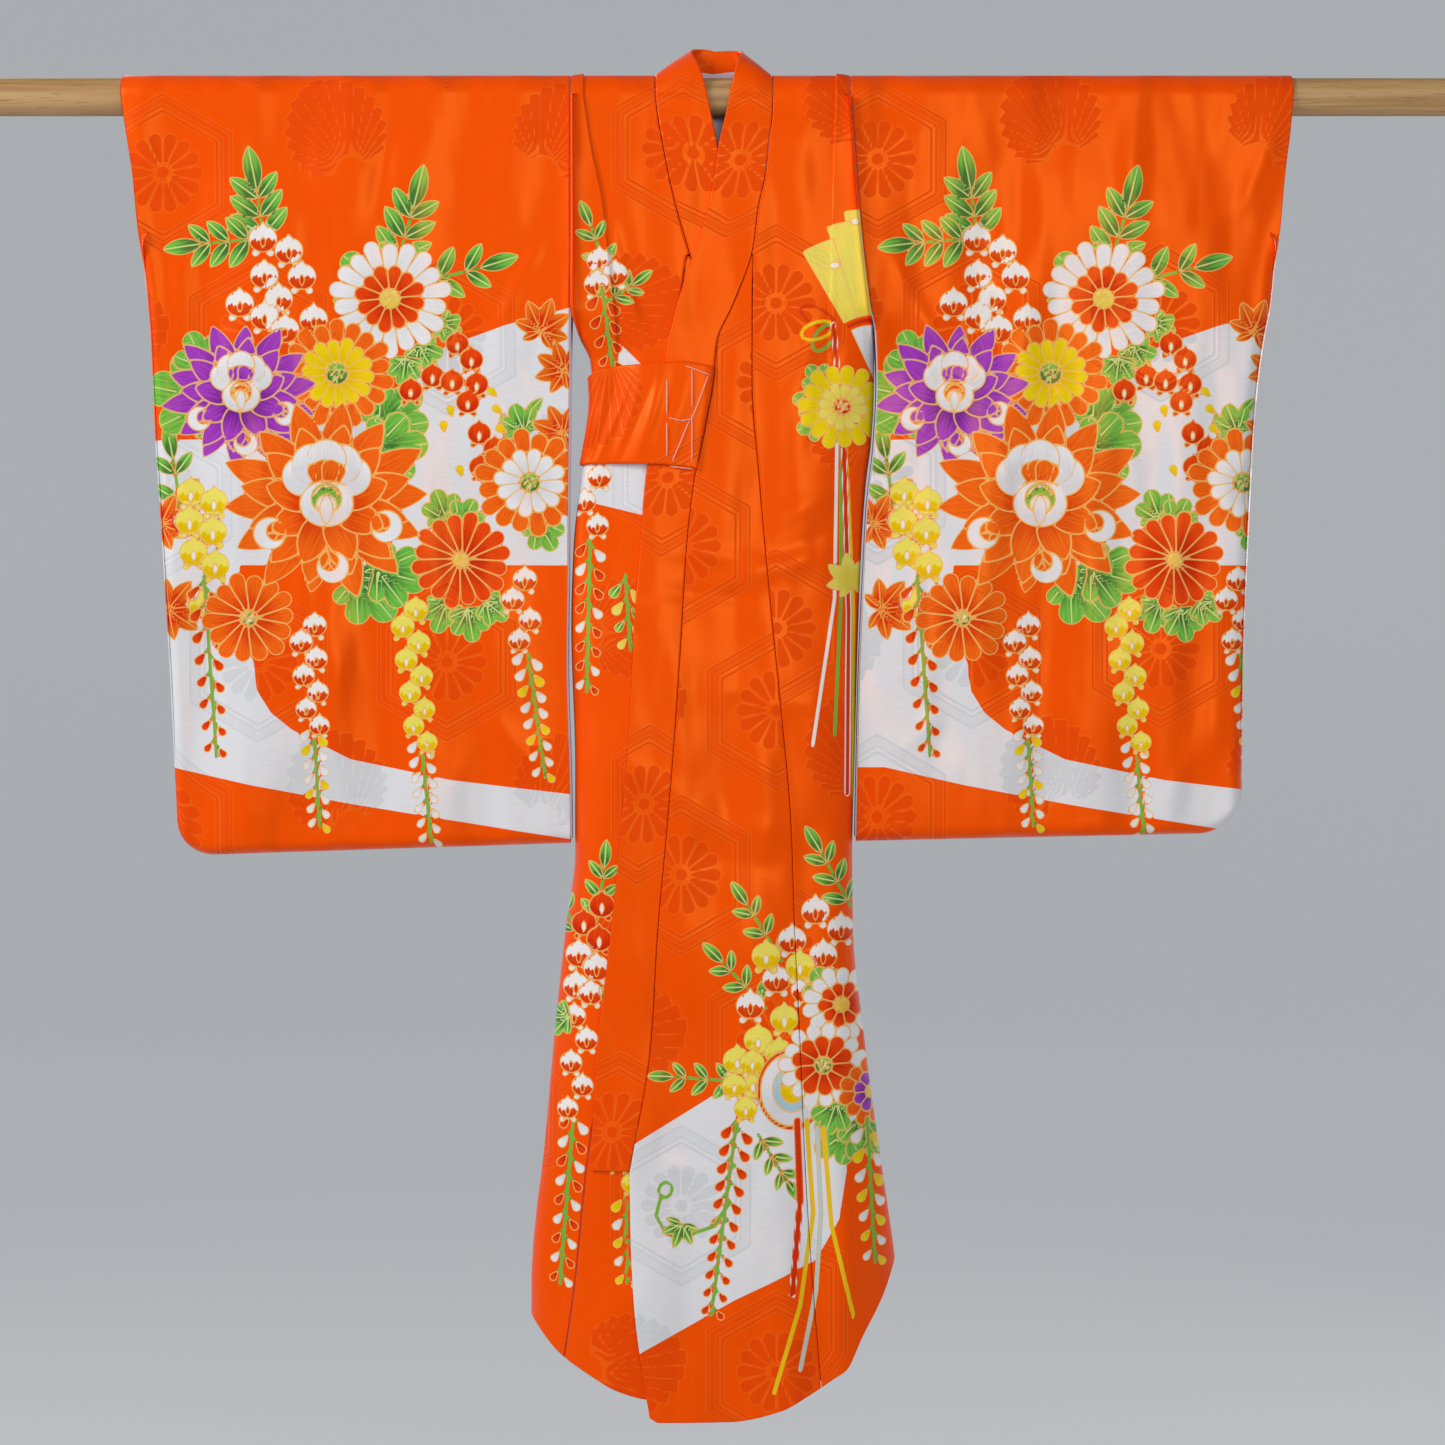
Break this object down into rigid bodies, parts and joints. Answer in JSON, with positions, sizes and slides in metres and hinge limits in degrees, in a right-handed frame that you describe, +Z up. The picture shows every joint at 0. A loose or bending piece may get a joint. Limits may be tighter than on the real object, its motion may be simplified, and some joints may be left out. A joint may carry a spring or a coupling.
{
  "type": "kimono hung on a wooden rod",
  "caption": "Child's long-sleeved kimono with closed fronts and an attached tie, hung over a plain round wooden rod through its sleeves.",
  "frame": {"origin": "on the rod's axis at the middle of the garment, where the rod is held", "axes": "+X along the rod to the viewer's right, +Y to the garment's back, +Z up"},
  "size_m": [1.2, 0.0948, 1.0603],
  "materials": {
    "printed_silk": "satin damask, printed",
    "damask_silk": "satin damask",
    "lining_silk": "plain smooth silk",
    "rod_wood": "smooth, unvarnished"
  },
  "bodies": {
    "root": {"rod": "rod_wood", "sleeve_right": "printed_silk", "sleeve_left": "printed_silk", "body_right": "printed_silk", "body_left": "printed_silk", "overlap_right": "printed_silk", "overlap_left": "printed_silk", "collar": "damask_silk", "tie": "damask_silk", "sleeve_lining_right": "lining_silk", "sleeve_lining_left": "lining_silk", "back_lining": "lining_silk"}
  },
  "joints": []
}
